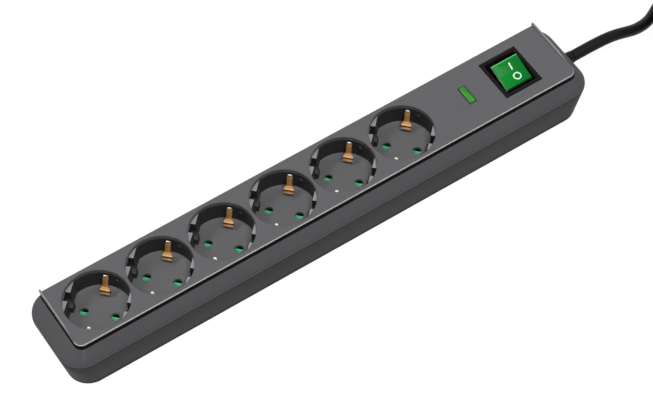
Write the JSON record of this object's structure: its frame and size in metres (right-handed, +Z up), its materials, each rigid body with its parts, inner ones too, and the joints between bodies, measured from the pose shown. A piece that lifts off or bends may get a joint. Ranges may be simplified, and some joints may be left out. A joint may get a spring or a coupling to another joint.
{
  "type": "power strip",
  "caption": "Long grey mains power strip with a row of round recessed sockets, green rocker switch, green indicator window and a black lead with a plug.",
  "frame": {"origin": "on the surface it stands on, under the middle of the body", "axes": "+X along the body towards the lead, +Y away from the viewer, +Z up"},
  "size_m": [0.5413, 0.0956, 0.0696],
  "materials": {
    "panel_grey": "finely grained mid grey",
    "body_grey": "finely grained darker grey",
    "black": "satin black",
    "green": "clear green, glossy",
    "clear_green": "clear green window",
    "shutter_green": "satin light green",
    "lamp": "milky",
    "ivory": "satin ivory",
    "copper": "rolled copper alloy",
    "brass": "rolled brass",
    "steel": "zinc plated or nickel plated",
    "board": "lacquered circuit board",
    "varistor_blue": "dipped epoxy",
    "wire_brown": "brown insulation",
    "wire_blue": "blue insulation",
    "wire_green_yellow": "green and yellow insulation",
    "cord_black": "soft satin black",
    "tie_black": "soft satin black"
  },
  "bodies": {
    "housing": {"top_shell": "panel_grey", "bottom_shell": "body_grey", "contact_carrier": "ivory", "neutral_bar": "brass", "line_bar": "brass", "earth_bar": "copper", "earth_clip_1": "copper", "earth_clip_2": "copper", "earth_clip_3": "copper", "earth_clip_4": "copper", "earth_clip_5": "copper", "earth_clip_6": "copper", "shutter_spring_1": "steel", "shutter_spring_2": "steel", "shutter_spring_3": "steel", "shutter_spring_4": "steel", "shutter_spring_5": "steel", "shutter_spring_6": "steel", "switch_housing": "black", "switch_terminal_1": "brass", "switch_terminal_2": "brass", "indicator_lens": "clear_green", "surge_board": "board", "varistor_1": "varistor_blue", "varistor_2": "varistor_blue", "varistor_3": "varistor_blue", "thermal_fuse": "ivory", "indicator_lamp": "lamp", "housing_screw_1": "steel", "housing_screw_2": "steel", "housing_screw_3": "steel", "housing_screw_4": "steel", "housing_screw_5": "steel", "housing_screw_6": "steel", "cord_gland": "cord_black", "cord_clamp": "ivory", "clamp_screw_1": "steel", "clamp_screw_2": "steel", "inner_sheath": "cord_black", "lead_line": "wire_brown", "lead_switched": "wire_brown", "lead_neutral": "wire_blue", "lead_earth": "wire_green_yellow", "cord_run": "cord_black", "cord_coil": "cord_black", "coil_tie": "tie_black", "plug_body": "cord_black", "plug_pin_1": "steel", "plug_pin_2": "steel", "plug_earth_1": "steel", "plug_earth_2": "steel"},
    "shutter_1": {"shutter_1": "shutter_green"},
    "shutter_2": {"shutter_2": "shutter_green"},
    "shutter_3": {"shutter_3": "shutter_green"},
    "shutter_4": {"shutter_4": "shutter_green"},
    "shutter_5": {"shutter_5": "shutter_green"},
    "shutter_6": {"shutter_6": "shutter_green"},
    "rocker": {"rocker": "green"},
    "lever": {"switch_lever": "copper"}
  },
  "joints": [
    {"name": "shutter_1_turn", "type": "hinge", "parent": "housing", "child": "shutter_1", "pos_m": [-0.15135, 0, 0.0211], "axis": [0, 0, 1], "range_deg": [0, 42], "stiffness_Nm_per_rad": 0.002, "springref_deg": -5.73},
    {"name": "shutter_2_turn", "type": "hinge", "parent": "housing", "child": "shutter_2", "pos_m": [-0.10865, 0, 0.0211], "axis": [0, 0, 1], "range_deg": [0, 42], "stiffness_Nm_per_rad": 0.002, "springref_deg": -5.73},
    {"name": "shutter_3_turn", "type": "hinge", "parent": "housing", "child": "shutter_3", "pos_m": [-0.06595, 0, 0.0211], "axis": [0, 0, 1], "range_deg": [0, 42], "stiffness_Nm_per_rad": 0.002, "springref_deg": -5.73},
    {"name": "shutter_4_turn", "type": "hinge", "parent": "housing", "child": "shutter_4", "pos_m": [-0.02325, 0, 0.0211], "axis": [0, 0, 1], "range_deg": [0, 42], "stiffness_Nm_per_rad": 0.002, "springref_deg": -5.73},
    {"name": "shutter_5_turn", "type": "hinge", "parent": "housing", "child": "shutter_5", "pos_m": [0.01945, 0, 0.0211], "axis": [0, 0, 1], "range_deg": [0, 42], "stiffness_Nm_per_rad": 0.002, "springref_deg": -5.73},
    {"name": "shutter_6_turn", "type": "hinge", "parent": "housing", "child": "shutter_6", "pos_m": [0.06215, 0, 0.0211], "axis": [0, 0, 1], "range_deg": [0, 42], "stiffness_Nm_per_rad": 0.002, "springref_deg": -5.73},
    {"name": "rocker_tip", "type": "hinge", "parent": "housing", "child": "rocker", "pos_m": [0.1429, 0.0004, 0.0381], "axis": [1, 0, 0], "range_deg": [-34, 0]},
    {"name": "lever_tip", "type": "hinge", "parent": "housing", "child": "lever", "pos_m": [0.1429, 0.0004, 0.0289], "axis": [1, 0, 0], "range_deg": [0, 12]}
  ],
  "couplings": [
    {"joint": "lever_tip", "follows": "rocker_tip", "ratio": -0.3529}
  ]
}
